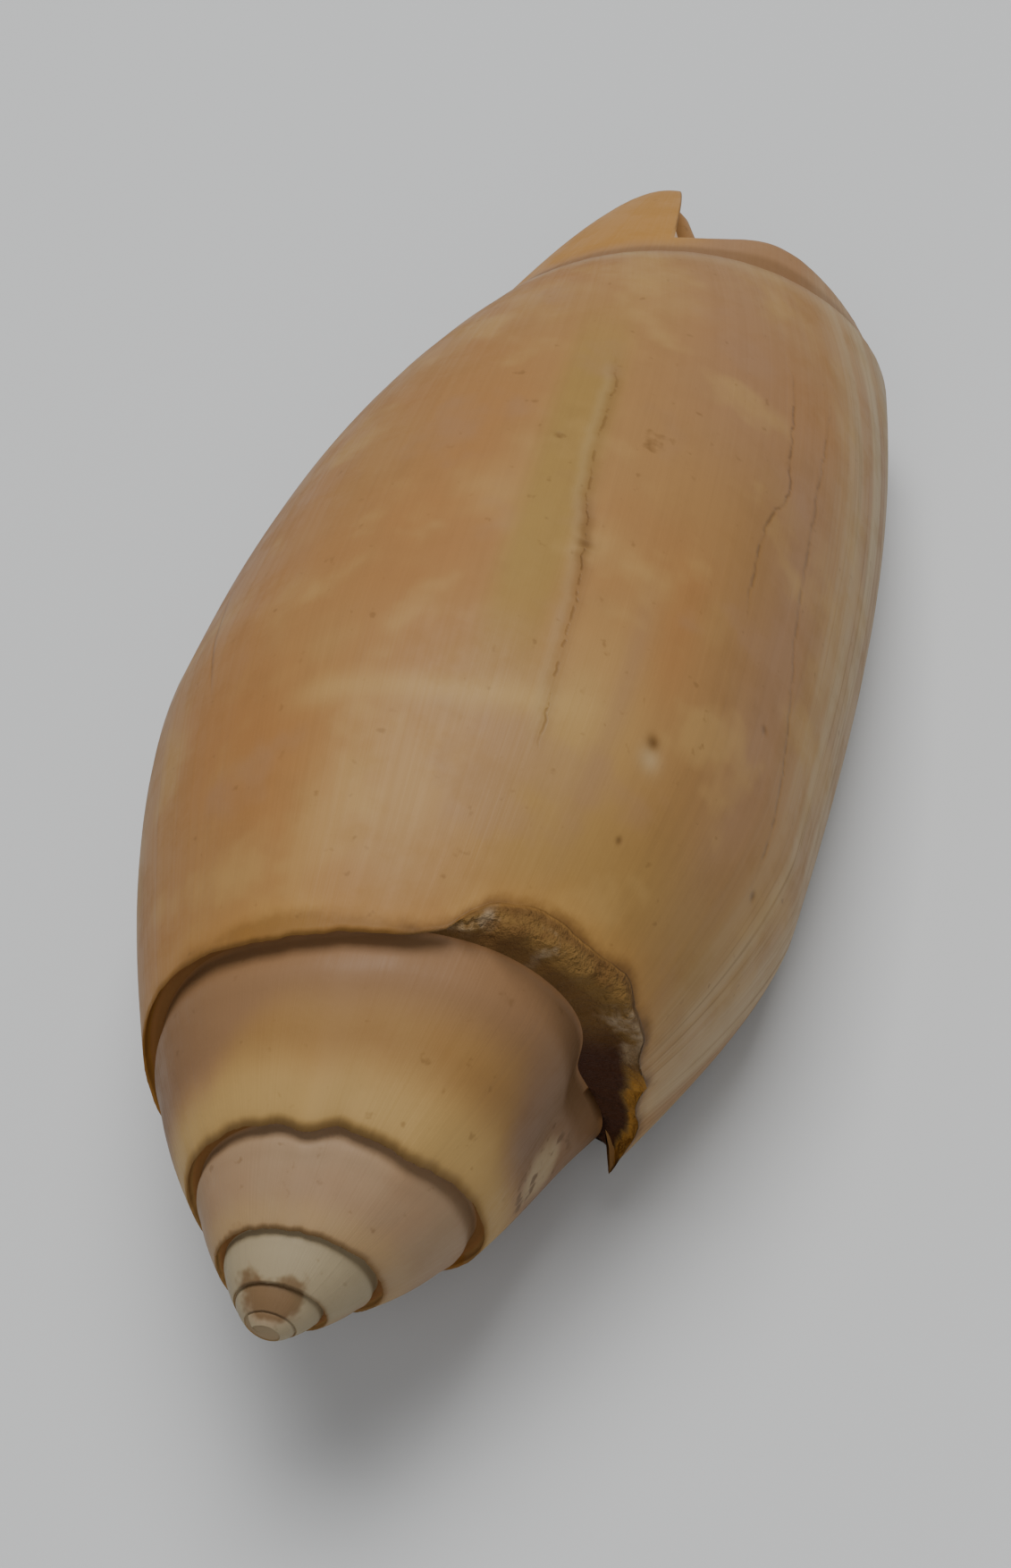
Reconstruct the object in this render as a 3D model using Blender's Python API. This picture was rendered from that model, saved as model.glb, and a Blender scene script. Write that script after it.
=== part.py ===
"""An olive shell, grown as one piece, lying with its back up and its aperture down.

The shell is drawn in its growth frame first: the coiling axis is Y, the apex is at
y = 0 and the front end is at +Y. Growth is counted in turns and is 0 at the lip, so
the apex has the lowest count. The finished shell is then turned to lie on the ground.
"""
import math

import bmesh
import bpy
import numpy as np
from mathutils import Matrix

MM = 0.001

# Coiling: the seam between two whorls, at the lip, and its growth in one turn
SEAM_ALONG = 16.06 * MM
SEAM_RADIUS = 12.6 * MM
GROWTH_ALONG = 2.012
GROWTH_RADIUS = 1.80
SPIRE_TURNS = 4.5
LIP_ANGLE = math.radians(130)
GROWTH_LAG = 0.03
FRONT_LAG = 0.015
FRONT_LAG_CURVE = 8

# The seam strays from its rule: each wave has its middle, its width in turns and its height
SEAM_WAVES = ((-0.40, 0.07, -0.6 * MM),)
RIM_PINCH = 1.3 * MM
RIM_PINCH_TURN = -0.09
RIM_PINCH_WIDTH = 0.07

# The channel along the seam, which widens to a canal at the lip, and the callus beside that
CHANNEL_WIDTH = 0.75 * MM
CHANNEL_DEPTH = 0.85 * MM
CHANNEL_GROWTH = 0.65
CANAL_WIDTH = 1.8 * MM
CANAL_START = -0.28
CANAL_END = -0.09
CALLUS = 1.0 * MM
CALLUS_START = -0.11
CALLUS_CURVE = 4

# The rim is broken away beside the lip: growth counts, and how much is missing there
BREAK_TURNS = (-0.33, -0.305, -0.285, -0.25, -0.2, -0.15, -0.10, -0.05, 0.0)
BREAK_WIDTHS = (0.0, 0.2, 1.5, 2.1, 1.8, 1.0, 0.6, 0.5, -0.3)

# Profile of the last whorl
BELLY_RADIUS = 15.2 * MM
BELLY_ALONG = 26.65 * MM
BELLY_GROWTH = 1.135
BACK_CURVE = 1.53
FRONT_CURVE = 2.74
SPIRE_CURVE = 1.6
RING_ALONG = 54.0 * MM
RING_RADIUS = 12.73 * MM
RING_SLANT = 19.5 * MM
RING_GROWTH = 1.45
RING_TURN = -0.36
WRAP_START = -0.95
WRAP_END = -0.58
LIP_TUCK = 0.4 * MM
LIP_TUCK_TURN = 0.15
LIP_TUCK_REACH = 12 * MM

# The columella: the solid pillar inside, its tip and the wrapped band on it
PILLAR_RADIUS = 5.0 * MM
PILLAR_CURVE = 1.25
TIP_ALONG = 68.1 * MM
TIP_OFFSET = 4.5 * MM
TIP_ANGLE = math.radians(-18)
TIP_ROUNDNESS = 0.586
BAND_STEP = 0.25 * MM
BAND_STEP_SHARE = 0.04
NOTCH_TURN = -0.28
NOTCH_SHARE = 0.183
NOTCH_SCOOP = 0.3
FREE_TAPER = 0.4
FREE_TURNS = 0.08
FREE_RISE = 0.8 * MM
FREE_RISE_TURN = -0.19
FREE_RISE_WIDTH = 0.06

# The hollow behind the aperture
WALL = 1.6 * MM
SEAT = 1.0 * MM
HOLLOW_TURNS = 0.74
HOLLOW_TAPER = 0.12
HOLLOW_CORNER = 0.08
HOLLOW_FRONT = 0.8
NOTCH_OPENING = 0.06
LEAST_ROOM = 0.000001 * MM

# How the shell lies, and the worn flats that it rests on
REST_ROLL = math.radians(2.79)
REST_PITCH = math.radians(-6.56)
FLAT_DEPTH = 0.2 * MM

# Fineness of the surface
STEPS_PER_TURN = 50
EDGE_STEPS = 3
STEP = 1 / STEPS_PER_TURN

# Rows across the whorl, each stretch between two landmarks being one unit long
FLOOR, RIM, FOOT, CORNER, RING, EDGE, TIP = range(7)
ROWS = np.concatenate([
    np.linspace(FLOOR, RIM, 4),
    np.linspace(RIM, FOOT, 5)[1:],
    np.linspace(CORNER, RING, 14),
    [RING + BAND_STEP_SHARE, RING + 0.5, EDGE],
    [EDGE + 0.3, EDGE + 0.6, EDGE + 0.8, EDGE + 0.93, TIP],
])
ROW_FOOT, ROW_CORNER, ROW_EDGE, ROW_TIP = (
    int(np.flatnonzero(ROWS == mark)[0]) for mark in (FOOT, CORNER, EDGE, TIP)
)


def ease(x):
    """A smooth step from 0 to 1."""
    x = np.clip(x, 0, 1)
    return x * x * (3 - 2 * x)


def hump(x, middle, width):
    """1 at the middle, falling softly on both sides."""
    return np.exp(-((x - middle) / width) ** 2)


def mix(a, b, share):
    return a + (b - a) * share


def seam(turn):
    """Place along the axis and radius of the seam's rim."""
    wave = sum(height * hump(turn, middle, width) for middle, width, height in SEAM_WAVES)
    pinch = RIM_PINCH * hump(turn, RIM_PINCH_TURN, RIM_PINCH_WIDTH)
    return SEAM_ALONG * GROWTH_ALONG ** turn + wave, SEAM_RADIUS * GROWTH_RADIUS ** turn - pinch


def callus(turn):
    """Height of the callus that the lip's inner end has laid on the whorl before it."""
    return CALLUS * ease(1 - np.minimum(turn, 0) / CALLUS_START)


def channel_foot(turn):
    """Where the channel outside the rim meets the whorl before it."""
    size = GROWTH_RADIUS ** (CHANNEL_GROWTH * np.minimum(turn, 0))
    along, radius = seam(turn)
    canal = CANAL_WIDTH * ease((turn - CANAL_START) / (CANAL_END - CANAL_START))
    return along + CHANNEL_DEPTH * size, radius - CHANNEL_WIDTH * size - canal + callus(turn)


def wrapped(turn):
    """0 inside the aperture, 1 on the open part of the last whorl."""
    return ease((turn - WRAP_START) / (WRAP_END - WRAP_START))


def lag(along):
    """The growth lines trail behind towards the front end, where the lip is round."""
    reach = (along - SEAM_ALONG) / (RING_ALONG - SEAM_ALONG)
    return GROWTH_LAG * np.clip(reach, 0, None) + FRONT_LAG * np.clip(reach, 0, None) ** FRONT_LAG_CURVE


def radius_at(turn, along):
    """Radius of a whorl's outer face at a place along the axis."""
    start, rim = seam(turn)
    end, _ = channel_foot(turn + 1)
    _, end_radius = channel_foot(np.minimum(turn + 1, 0))
    x = np.clip((along - start) / (end - start), 0, 1)
    y = np.clip((along - end) / (RING_ALONG - end), 0, None)
    lump = callus(turn + 1)
    spire = rim + (end_radius - lump - rim) * (1 - (1 - x) ** SPIRE_CURVE) + lump * x ** CALLUS_CURVE
    pillar = (PILLAR_RADIUS - end_radius) * y ** PILLAR_CURVE

    belly = BELLY_RADIUS * BELLY_GROWTH ** turn
    ring = RING_RADIUS * RING_GROWTH ** turn
    x = np.clip((along - start) / (BELLY_ALONG - start), 0, 1)
    y = np.clip((along - BELLY_ALONG) / (ring_along(turn) - BELLY_ALONG), 0, None)
    body = np.where(
        along < BELLY_ALONG,
        belly - (belly - rim) * (1 - x) ** BACK_CURVE,
        belly - (belly - ring) * y ** FRONT_CURVE,
    )
    tuck = ease(1 + turn / LIP_TUCK_TURN) * np.exp(-((along - start) / LIP_TUCK_REACH) ** 2)
    body = body - LIP_TUCK * tuck
    return mix(spire + pillar, body, wrapped(turn))


def ring_along(turn):
    """Where the last whorl ends and the wrapped band begins."""
    slant = RING_SLANT * (turn - RING_TURN)
    return RING_ALONG + slant * wrapped(turn)


def polar(turn, along, radius):
    angle = LIP_ANGLE + 2 * math.pi * turn
    return np.stack([radius * np.sin(angle), along + 0 * angle, radius * np.cos(angle)], -1)


def whorl(turn, row):
    """Point of the outer surface at a growth count and a row."""
    turn, row = np.broadcast_arrays(np.asarray(turn, float), np.asarray(row, float))
    start, _ = seam(turn)
    foot, _ = channel_foot(np.minimum(turn + 1, 0))
    floor, floor_radius = channel_foot(turn)
    corner = foot + SEAT * GROWTH_RADIUS ** (CHANNEL_GROWTH * np.minimum(turn + 1, 0))
    ring = ring_along(turn)

    crest = start + np.interp(turn, BREAK_TURNS, BREAK_WIDTHS) * MM
    crest_radius = radius_at(turn, crest)
    swing = np.clip(row - FLOOR, 0, 1) * math.pi / 2
    rise = np.sin(swing) ** 0.5
    fall = np.clip(np.cos(swing), 0, 1) ** 0.5
    curl_along = crest + (floor - crest) * fall
    curl_radius = floor_radius + (crest_radius - floor_radius) * rise

    marks = np.stack([crest, foot, corner, ring])
    along = np.where(row < FOOT, mix(marks[0], marks[1], row - RIM), 0)
    along = np.where((row >= FOOT) & (row < CORNER), mix(marks[1], marks[2], row - FOOT), along)
    along = np.where(row >= CORNER, mix(marks[2], marks[3], np.minimum(row, RING) - CORNER), along)
    radius = radius_at(turn - lag(along), along)
    side = polar(turn - lag(along), along, radius)

    share = np.clip(row - RING, 0, 1) * NOTCH_SHARE
    share = np.where(row > EDGE, mix(NOTCH_SHARE, 1, row - EDGE), share)[..., None]
    tip = np.array([TIP_OFFSET * math.sin(TIP_ANGLE), TIP_ALONG, TIP_OFFSET * math.cos(TIP_ANGLE)])
    step = BAND_STEP * ease(share / NOTCH_SHARE / BAND_STEP_SHARE) * (1 - share)
    axis = side * [0, 1, 0]
    outward = (side - axis) / np.linalg.norm(side - axis, axis=-1, keepdims=True)
    free = ease((turn - NOTCH_TURN) / FREE_TURNS)[..., None]
    rise = FREE_RISE * hump(turn, FREE_RISE_TURN, FREE_RISE_WIDTH) * free[..., 0]
    cone = tip + (side - tip) * (1 - share * (1 - FREE_TAPER * free)) ** TIP_ROUNDNESS - outward * step
    cone[..., 1] = mix(side[..., 1], TIP_ALONG, share[..., 0]) + rise * share[..., 0] / NOTCH_SHARE

    curl = polar(turn, curl_along, curl_radius)
    point = np.where((row < RIM)[..., None], curl, side)
    return np.where((row > RING)[..., None], cone, point)


def hollow(turn, row):
    """Point of the last whorl's inner face."""
    turn, row = np.broadcast_arrays(np.asarray(turn, float), np.asarray(row, float))
    outer = whorl(turn, row)
    inner = whorl(turn - 1, row)
    room = np.linalg.norm(outer - inner, axis=-1)
    wall = WALL * (1 - np.exp(-room / WALL))
    corner = np.clip((row - CORNER) / HOLLOW_CORNER, 0, 1) ** 0.5
    deep = np.clip((turn + HOLLOW_TURNS) / HOLLOW_TAPER, 0, 1) ** 0.5
    opening = ease((turn - NOTCH_TURN) / NOTCH_OPENING)
    front = np.clip((EDGE - row) / HOLLOW_FRONT + opening, 0, 1) ** 0.5
    share = (1 - wall / np.maximum(room, LEAST_ROOM)) * corner * deep * front
    return mix(inner, outer, share[..., None])


def unit(vectors):
    return vectors / np.linalg.norm(vectors, axis=-1, keepdims=True)


class Surface:
    """Vertices and faces, with one vertex for each named place."""

    def __init__(self):
        self.points = []
        self.faces = []
        self.index = {}

    def add(self, key, point):
        if key not in self.index:
            self.index[key] = len(self.points)
            self.points.append(tuple(float(c) for c in point))
        return self.index[key]

    def face(self, corners):
        kept = [c for i, c in enumerate(corners) if c != corners[i - 1]]
        if len(kept) > 2:
            self.faces.append(kept)


def build_surface():
    """One closed surface: spire, last whorl, tip, hollow, lip, free edge and notch."""
    surface = Surface()
    last = 0
    first = -round(SPIRE_TURNS * STEPS_PER_TURN)
    deepest = -round(HOLLOW_TURNS * STEPS_PER_TURN)
    notch = round(NOTCH_TURN * STEPS_PER_TURN)
    columns = np.arange(first, last + 1)
    outer = whorl(columns[:, None] * STEP, ROWS[None, :])
    inner_columns = np.arange(deepest, last + 1)
    inner = hollow(inner_columns[:, None] * STEP, ROWS[None, :])

    def out(column, row):
        if row == 0 and column > first + STEPS_PER_TURN - 1:
            column, row = column - STEPS_PER_TURN, ROW_FOOT
        if row == ROW_TIP:
            return surface.add("tip", outer[column - first, row])
        return surface.add(("out", column, row), outer[column - first, row])

    def inside(column, row):
        closed_front = row == ROW_EDGE and column <= notch
        if row == ROW_CORNER or column == deepest or closed_front:
            return out(column - STEPS_PER_TURN, row)
        return surface.add(("in", column, row), inner[column - deepest, row])

    def quad(place, column, row, flip=False):
        corners = [place(column, row), place(column + 1, row),
                   place(column + 1, row + 1), place(column, row + 1)]
        surface.face(corners[::-1] if flip else corners)

    for column in range(first, last):
        for row in range(ROW_FOOT):
            quad(out, column, row)
    for column in range(-STEPS_PER_TURN, last):
        quad(out, column, ROW_FOOT)
    for column in range(deepest - STEPS_PER_TURN, last):
        for row in range(ROW_CORNER, ROW_EDGE):
            quad(out, column, row)
    for column in range(notch - STEPS_PER_TURN, notch):
        for row in range(ROW_EDGE, ROW_TIP):
            quad(out, column, row)
    for column in range(deepest, last):
        for row in range(ROW_CORNER, ROW_EDGE):
            quad(inside, column, row, flip=True)

    def edge(column, row, step):
        """Point on the rounded edge between the outer and the inner face."""
        if step == 0:
            return out(column, row)
        if step == EDGE_STEPS:
            return inside(column, row)
        a = outer[column - first, row]
        b = inner[column - deepest, row]
        forward = unit(np.cross([0, 1, 0], a * [1, 0, 1])) if row < ROW_EDGE else np.array([0, 1, 0])
        if row == ROW_EDGE and column == last:
            forward = unit(forward + unit(np.cross([0, 1, 0], a * [1, 0, 1])))
        share = step / EDGE_STEPS
        bulge = forward * np.linalg.norm(b - a) / 2 * math.sin(math.pi * share)
        return surface.add(("edge", column, row, step), mix(a, b, share) + bulge)

    # The lip, from the corner at the seam to the front end
    for row in range(ROW_CORNER, ROW_EDGE):
        for step in range(EDGE_STEPS):
            surface.face([edge(last, row, step), edge(last, row, step + 1),
                          edge(last, row + 1, step + 1), edge(last, row + 1, step)])
    surface.face([out(last, row) for row in range(ROW_CORNER, -1, -1)]
                 + [edge(last, ROW_CORNER, step) for step in range(EDGE_STEPS, 0, -1)])

    # The free edge of the last whorl at the front end
    for column in range(notch, last):
        for step in range(EDGE_STEPS):
            surface.face([edge(column, ROW_EDGE, step), edge(column + 1, ROW_EDGE, step),
                          edge(column + 1, ROW_EDGE, step + 1), edge(column, ROW_EDGE, step + 1)])

    def wall(row, step):
        """Point on the scooped wall of the notch, beside the tip."""
        if row == ROW_EDGE:
            return edge(notch, row, step)
        if row == ROW_TIP or step == 0:
            return out(notch, row)
        if step == EDGE_STEPS:
            return out(notch - STEPS_PER_TURN, row)
        a = outer[notch - first, row]
        b = outer[notch - STEPS_PER_TURN - first, row]
        share = step / EDGE_STEPS
        back = -unit(np.cross([0, 1, 0], a * [1, 0, 1]))
        scoop = back * np.linalg.norm(b - a) * NOTCH_SCOOP * math.sin(math.pi * share)
        return surface.add(("wall", row, step), mix(a, b, share) + scoop)

    for row in range(ROW_EDGE, ROW_TIP):
        for step in range(EDGE_STEPS):
            surface.face([wall(row, step), wall(row, step + 1),
                          wall(row + 1, step + 1), wall(row + 1, step)])

    # The apex, closed over the first turn
    rim = [out(column, 0) for column in range(first, first + STEPS_PER_TURN + 1)]
    side = [out(first, row) for row in range(1, ROW_FOOT)]
    loop = rim + side[::-1]
    middle = np.mean([surface.points[i] for i in loop], axis=0)
    middle[1] = min(surface.points[i][1] for i in loop)
    apex = surface.add("apex", middle)
    for i, corner in enumerate(loop):
        surface.face([loop[i - 1], corner, apex][::-1])
    return surface


def lay_down(mesh):
    """Turn the shell to lie on the ground, wear its flats and centre it over the origin."""
    roll = Matrix.Rotation(REST_ROLL, 4, "Y")
    pitch = Matrix.Rotation(REST_PITCH, 4, "X")
    bmesh.ops.transform(mesh, matrix=pitch @ roll, verts=mesh.verts)
    low = min(v.co.z for v in mesh.verts) + FLAT_DEPTH
    cut = bmesh.ops.bisect_plane(
        mesh, geom=mesh.verts[:] + mesh.edges[:] + mesh.faces[:], dist=1e-8,
        plane_co=(0, 0, low), plane_no=(0, 0, 1), clear_inner=True,
    )
    edges = [item for item in cut["geom_cut"] if isinstance(item, bmesh.types.BMEdge)]
    bmesh.ops.holes_fill(mesh, edges=edges)
    size = [[f(v.co[i] for v in mesh.verts) for f in (min, max)] for i in range(3)]
    shift = (-sum(size[0]) / 2, -sum(size[1]) / 2, -low)
    bmesh.ops.translate(mesh, vec=shift, verts=mesh.verts)


def shell_material():
    material = bpy.data.materials.new("worn shell")
    material.use_nodes = True
    shader = material.node_tree.nodes["Principled BSDF"]
    shader.inputs["Base Color"].default_value = (0.40, 0.24, 0.12, 1)
    shader.inputs["Roughness"].default_value = 0.42
    shader.inputs["Metallic"].default_value = 0
    return material


def make_shell():
    surface = build_surface()
    mesh = bmesh.new()
    corners = [mesh.verts.new(point) for point in surface.points]
    for face in surface.faces:
        mesh.faces.new([corners[i] for i in face])
    bmesh.ops.recalc_face_normals(mesh, faces=mesh.faces[:])
    lay_down(mesh)
    bmesh.ops.triangulate(mesh, faces=mesh.faces[:])
    data = bpy.data.meshes.new("shell")
    mesh.to_mesh(data)
    mesh.free()
    data.shade_smooth()
    data.set_sharp_from_angle(angle=math.radians(50))
    shell = bpy.data.objects.new("shell", data)
    bpy.context.scene.collection.objects.link(shell)
    data.materials.append(shell_material())
    return shell


def main():
    for item in list(bpy.data.objects):
        bpy.data.objects.remove(item)
    make_shell()


main()
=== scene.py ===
"""A worn olive shell on a pale floor, grown by one coiling rule and given its finish."""

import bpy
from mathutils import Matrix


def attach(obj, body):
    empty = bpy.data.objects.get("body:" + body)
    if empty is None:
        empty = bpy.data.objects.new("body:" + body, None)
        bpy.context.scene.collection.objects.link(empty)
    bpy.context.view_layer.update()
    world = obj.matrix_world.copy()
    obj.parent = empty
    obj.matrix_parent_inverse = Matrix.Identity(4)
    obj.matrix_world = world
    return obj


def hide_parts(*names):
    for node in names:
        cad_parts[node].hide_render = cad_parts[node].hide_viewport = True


bl_info = {
    "name": "Worn olive shell",
    "version": (1, 0, 0),
    "blender": (4, 5, 0),
    "location": "View3D > Sidebar > Shell",
    "description": "Makes a worn olive shell, its finish and a plain pale stage",
    "category": "Add Mesh",
}

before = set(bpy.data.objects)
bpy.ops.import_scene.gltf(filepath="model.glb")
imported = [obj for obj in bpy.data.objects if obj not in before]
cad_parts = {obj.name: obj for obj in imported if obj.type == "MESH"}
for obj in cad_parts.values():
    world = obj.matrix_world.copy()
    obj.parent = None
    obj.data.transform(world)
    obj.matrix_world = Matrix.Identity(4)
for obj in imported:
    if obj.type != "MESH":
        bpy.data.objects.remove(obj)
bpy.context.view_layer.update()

import math

import bmesh
import bpy
from bpy.props import FloatProperty, FloatVectorProperty, IntProperty, PointerProperty
from mathutils import Matrix, Vector

MM = 0.001


# Named sizes and tones

def linear(part):
    """One part of a tone, from 0 to 255 as the eye sees it, made linear."""
    share = part / 255
    return share / 12.92 if part <= 10 else ((share + 0.055) / 1.055) ** 2.4


def length(name, text, millimetres):
    return FloatProperty(name=name, description=text, default=millimetres * MM, unit="LENGTH", precision=5)


def number(name, text, value):
    return FloatProperty(name=name, description=text, default=value, precision=4)


def angle(name, text, degrees):
    return FloatProperty(name=name, description=text, default=math.radians(degrees), subtype="ANGLE")


def tone(name, text, red, green, blue):
    return FloatVectorProperty(name=name, description=text, size=3, subtype="COLOR", min=0, max=1,
                               default=[linear(part) for part in (red, green, blue)])


class ShellForm(bpy.types.PropertyGroup):
    """The coiling rule. Turns are counted from the lip, and those before it are negative."""

    lip_angle: angle("Lip angle", "Where the lip stands, turned from straight up", 130)
    seam_along: length("Seam along", "Place of the seam at the lip, from the apex", 16.06)
    seam_radius: length("Seam radius", "Radius of the seam's rim at the lip", 12.6)
    growth_along: number("Growth along", "Growth of the seam's place in one turn", 2.012)
    growth_radius: number("Growth of radius", "Growth of the seam's radius in one turn", 1.8)
    growth_lag: number("Growth lag", "Turns that a growth line trails at the front end", 0.03)
    front_lag: number("Front lag", "Turns by which the lip is rounded at its front", 0.015)
    channel_width: length("Channel width", "Width of the channel inside the rim", 0.75)
    channel_depth: length("Channel depth", "Depth of the channel inside the rim", 0.85)
    belly_radius: length("Belly radius", "Greatest radius of the last whorl", 15.2)
    belly_along: length("Belly along", "Place of the greatest radius", 26.65)
    belly_growth: number("Belly growth", "Growth of the belly in one turn", 1.135)
    ring_along: length("Ring along", "Place of the line where the front band begins", 54.0)
    ring_radius: length("Ring radius", "Radius of that line at the lip", 12.73)
    ring_slant: length("Ring slant", "Advance of that line in one turn", 19.5)
    ring_growth: number("Ring growth", "Growth of that line's radius in one turn", 1.45)
    lip_tuck: length("Lip tuck", "How far the lip is drawn in at the seam", 0.4)
    canal_width: length("Canal width", "Extra width of the channel beside the lip", 1.8)
    callus: length("Callus", "Height of the callus beside the lip's inner end", 1.0)
    pillar_radius: length("Pillar radius", "Radius of the columella at the ring", 5.0)
    tip_along: length("Tip along", "Place of the front tip", 68.1)
    tip_offset: length("Tip offset", "Distance of the tip from the coiling axis", 4.5)
    tip_angle: angle("Tip angle", "Side to which the tip is set off", -18)
    wall: length("Wall", "Thickness of the last whorl", 1.6)
    ripple: length("Ripple", "Height of the growth lines", 0.035)
    chipping: length("Chipping", "Unevenness of the worn rim", 0.16)


class ShellFineness(bpy.types.PropertyGroup):
    """How finely the surface is divided."""

    steps: IntProperty(name="Steps per turn", description="Columns in one turn", default=250, min=50)
    spire_turns: number("Spire turns", "Turns from the apex to the lip", 5.5)
    hollow_turns: number("Hollow turns", "Depth of the hollow behind the lip", 0.6)


class ShellTones(bpy.types.PropertyGroup):
    """The tones of the worn shell."""

    peach: tone("Peach", "Main tone of the last whorl", 141, 105, 63)
    amber: tone("Amber", "Warm patches on the last whorl", 140, 96, 53)
    straw: tone("Straw", "Pale yellow patches", 160, 129, 78)
    olive: tone("Olive", "Streak beside the growth scar", 134, 107, 55)
    # Mauve is also partly painted shade on the right side of the last whorl.
    mauve: tone("Mauve", "Faded pinkish sides", 136, 104, 76)
    cream: tone("Cream", "Pale growth streaks and chalky wear", 162, 141, 106)
    # Umber also paints shade: under the body's edge on the front band, and along the crust's inner edge.
    umber: tone("Umber", "Stain in the channels", 90, 62, 30)
    moss: tone("Moss", "Stained broken rim", 118, 92, 48)
    ash: tone("Ash", "Chalky mottles on the broken rim", 142, 122, 96)
    # Rust also stands for painted shade in the canal's hollow beside the lip.
    rust: tone("Rust", "Deep stain in the broken rim's hollow", 60, 32, 18)
    chalk: tone("Chalk", "Worn apex", 142, 128, 101)
    honey: tone("Honey", "Front band near the tip", 158, 112, 46)
    porcelain: tone("Porcelain", "Inside of the hollow and the lip", 198, 170, 134)
    floor: tone("Floor", "The pale floor", 186, 187, 187)


# Arithmetic with nodes

class Field:
    """A value that nodes work out at every point, written as ordinary arithmetic."""

    def __init__(self, tree, socket):
        self.tree = tree
        self.socket = socket

    def feed(self, socket):
        self.tree.links.new(self.socket, socket)

    def __add__(self, other):
        return calc("ADD", self, other)

    def __sub__(self, other):
        return calc("SUBTRACT", self, other)

    def __mul__(self, other):
        return calc("MULTIPLY", self, other)

    def __truediv__(self, other):
        return calc("DIVIDE", self, other)

    def __pow__(self, other):
        return calc("POWER", self, other)

    def __radd__(self, other):
        return calc("ADD", other, self)

    def __rsub__(self, other):
        return calc("SUBTRACT", other, self)

    def __rmul__(self, other):
        return calc("MULTIPLY", other, self)

    def __rpow__(self, other):
        return calc("POWER", other, self)


def put(value, socket):
    """Feed a socket with a field, or set it to a plain value."""
    if isinstance(value, Field):
        value.feed(socket)
    else:
        socket.default_value = value


def tree_of(*values):
    return next(value.tree for value in values if isinstance(value, Field))


def calc(operation, *values, clamp=False):
    tree = tree_of(*values)
    node = tree.nodes.new("ShaderNodeMath")
    node.operation = operation
    node.use_clamp = clamp
    for value, socket in zip(values, node.inputs):
        put(value, socket)
    return Field(tree, node.outputs[0])


def least(a, b):
    return calc("MINIMUM", a, b)


def most(a, b):
    return calc("MAXIMUM", a, b)


def clip(a):
    return calc("MULTIPLY", a, 1, clamp=True)


def beyond(a, limit):
    return calc("GREATER_THAN", a, limit)


def ease(a):
    """A smooth step from 0 to 1."""
    a = clip(a)
    return a * a * (3 - 2 * a)


def ramp(a, start, reach):
    """A smooth step that begins at a place; it falls if its reach is negative."""
    return ease((a - start) / reach)


def blend(a, b, share):
    return a + (b - a) * share


def hump(a, middle, width):
    """1 at the middle, falling softly to about 0 at twice the width."""
    x = (a - middle) / width
    return calc("EXPONENT", x * x * -1)


def vector(x, y, z):
    tree = tree_of(x, y, z)
    node = tree.nodes.new("ShaderNodeCombineXYZ")
    for value, socket in zip((x, y, z), node.inputs):
        put(value, socket)
    return Field(tree, node.outputs[0])


def parts_of(field):
    node = field.tree.nodes.new("ShaderNodeSeparateXYZ")
    field.feed(node.inputs[0])
    return [Field(field.tree, socket) for socket in node.outputs]


def arrows(operation, a, b=None, scale=None):
    """Arithmetic on vectors; a distance comes out as a number."""
    tree = tree_of(a, b, scale)
    node = tree.nodes.new("ShaderNodeVectorMath")
    node.operation = operation
    put(a, node.inputs[0])
    if b is not None:
        put(b, node.inputs[1])
    if scale is not None:
        put(scale, node.inputs["Scale"])
    return Field(tree, node.outputs["Value" if operation == "DISTANCE" else "Vector"])


def between(a, b, share):
    """A point on the way from a to b."""
    return arrows("ADD", a, arrows("SCALE", arrows("SUBTRACT", b, a), scale=share))


def noise(source, scale, detail=2.0, roughness=0.5, flat=False):
    """Noise about 0.5, over a vector, or over a number if flat is set."""
    node = source.tree.nodes.new("ShaderNodeTexNoise")
    node.noise_dimensions = "1D" if flat else "3D"
    source.feed(node.inputs["W" if flat else "Vector"])
    node.inputs["Scale"].default_value = scale
    node.inputs["Detail"].default_value = detail
    node.inputs["Roughness"].default_value = roughness
    return Field(source.tree, node.outputs[0])


def curve(source, points):
    """A curve through points, each a place and a height, both as they are read."""
    low, high = points[0][0], points[-1][0]
    node = source.tree.nodes.new("ShaderNodeFloatCurve")
    line = node.mapping.curves[0]
    heights = [height for _, height in points]
    bottom, span = min(heights), (max(heights) - min(heights)) or 1
    places = [((place - low) / (high - low), (height - bottom) / span) for place, height in points]
    while len(line.points) < len(places):
        line.points.new(0.5, 0.5)
    for point, place in zip(line.points, places):
        point.location = place
    node.mapping.update()
    put(clip((source - low) / (high - low)), node.inputs["Value"])
    return Field(source.tree, node.outputs[0]) * span + bottom


class Group:
    """A node group with named inputs and outputs, filled by ordinary arithmetic."""

    def __init__(self, name, kind):
        self.tree = bpy.data.node_groups.new(name, kind)
        self.entry = self.tree.nodes.new("NodeGroupInput")
        self.exit = self.tree.nodes.new("NodeGroupOutput")

    def takes(self, name, kind="NodeSocketFloat", value=None):
        socket = self.tree.interface.new_socket(name, in_out="INPUT", socket_type=kind)
        if value is not None:
            socket.default_value = value
        return Field(self.tree, self.entry.outputs[name])

    def gives(self, name, field, kind="NodeSocketFloat"):
        self.tree.interface.new_socket(name, in_out="OUTPUT", socket_type=kind)
        field.feed(self.exit.inputs[name])

    def place(self, tree, **inputs):
        """Put the group in a tree, and return its outputs by name."""
        node = tree.nodes.new("GeometryNodeGroup" if tree.type == "GEOMETRY" else "ShaderNodeGroup")
        node.node_tree = self.tree
        for name, value in inputs.items():
            put(value, node.inputs[name])
        return {socket.name: Field(tree, socket) for socket in node.outputs}


# The coiling rule

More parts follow.
